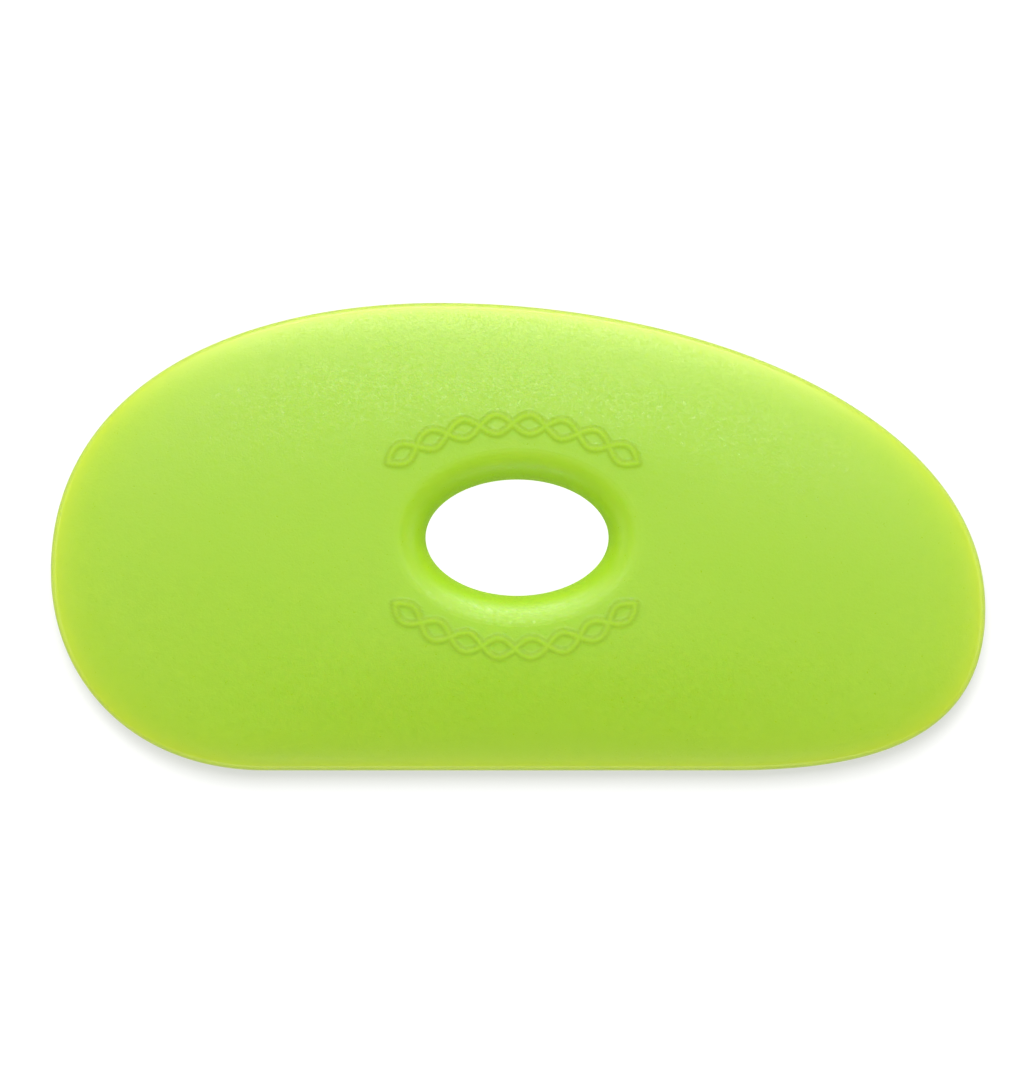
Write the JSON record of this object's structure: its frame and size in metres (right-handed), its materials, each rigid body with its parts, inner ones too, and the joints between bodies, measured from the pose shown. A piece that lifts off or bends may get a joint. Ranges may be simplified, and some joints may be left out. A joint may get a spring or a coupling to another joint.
{
  "type": "clay modeling tool",
  "caption": "Flexible kidney-shaped potter's rib with a thin working edge, crowned faces, a rounded oval finger hole and raised wavy bands, for shaping and smoothing clay.",
  "frame": {"origin": "under the middle of the outline, on the plane that the lower face rests on", "axes": "+X along the blade towards its narrower end, +Y from the straight edge to the long curved edge, +Z out of the face with the raised bands"},
  "size_m": [0.0888, 0.0444, 0.0065],
  "materials": {
    "flexible_polymer": "translucent lime green cast polyurethane with a fine matt mould texture, smoother on the hole's lip and on the raised bands"
  },
  "bodies": {
    "root": {"rib_blade": "flexible_polymer"}
  },
  "joints": []
}
